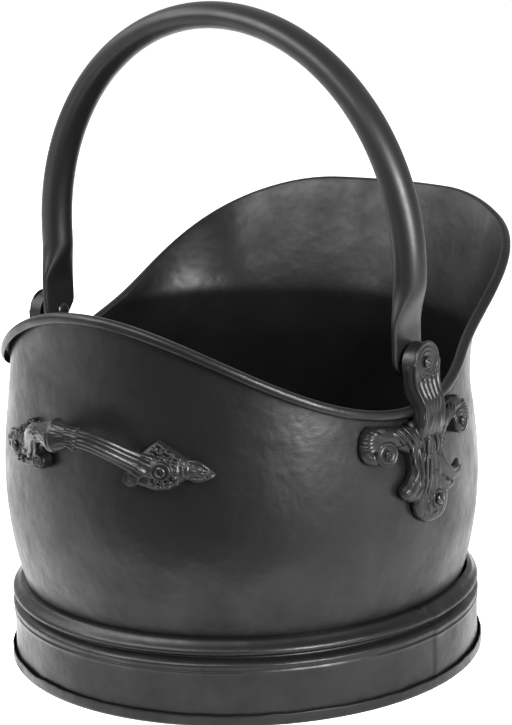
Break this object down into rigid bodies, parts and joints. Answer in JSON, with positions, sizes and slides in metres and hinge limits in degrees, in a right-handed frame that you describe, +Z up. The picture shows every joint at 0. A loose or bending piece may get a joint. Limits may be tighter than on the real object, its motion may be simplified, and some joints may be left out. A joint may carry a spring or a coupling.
{
  "type": "helmet coal bucket",
  "caption": "Helmet-shaped coal bucket with a flared pouring spout, a moulded plinth, a swinging tube bail on cast side brackets and a cast tipping handle at the rear.",
  "frame": {"origin": "on the floor under the middle of the round base", "axes": "+Z up, -Y towards the pouring spout, +Y towards the tipping handle, X along the line on which the bail turns"},
  "size_m": [0.3476, 0.3983, 0.4493],
  "materials": {
    "sheet_paint": "satin black paint on sheet steel, faintly blotched",
    "tube_paint": "satin black paint on steel tube",
    "cast_paint": "semi-gloss black paint on castings",
    "fixing_paint": "semi-gloss black paint on steel fixings"
  },
  "bodies": {
    "bucket": {"body_shell": "sheet_paint", "floor_pan": "sheet_paint", "plinth_ring": "sheet_paint", "base_disc": "sheet_paint", "bracket_left": "cast_paint", "bracket_right": "cast_paint", "tipping_handle": "cast_paint", "bracket_left_foot_nut": "fixing_paint", "bracket_left_foot_screw": "fixing_paint", "bracket_left_foot_washer": "fixing_paint", "bracket_left_front_rivet": "fixing_paint", "bracket_left_front_washer": "fixing_paint", "bracket_left_rear_rivet": "fixing_paint", "bracket_left_rear_washer": "fixing_paint", "bracket_right_foot_nut": "fixing_paint", "bracket_right_foot_screw": "fixing_paint", "bracket_right_foot_washer": "fixing_paint", "bracket_right_front_rivet": "fixing_paint", "bracket_right_front_washer": "fixing_paint", "bracket_right_rear_rivet": "fixing_paint", "bracket_right_rear_washer": "fixing_paint", "handle_left_nut": "fixing_paint", "handle_left_screw": "fixing_paint", "handle_left_washer": "fixing_paint", "handle_right_nut": "fixing_paint", "handle_right_screw": "fixing_paint", "handle_right_washer": "fixing_paint", "pivot_pin_left": "fixing_paint", "pivot_pin_right": "fixing_paint", "pivot_washer_left": "fixing_paint", "pivot_washer_right": "fixing_paint"},
    "bail": {"bail": "tube_paint"}
  },
  "joints": [
    {"name": "bail_swing", "type": "hinge", "parent": "bucket", "child": "bail", "pos_m": [0, 0.0155, 0.225], "axis": [1, 0, 0], "range_deg": [-101, 67]}
  ]
}
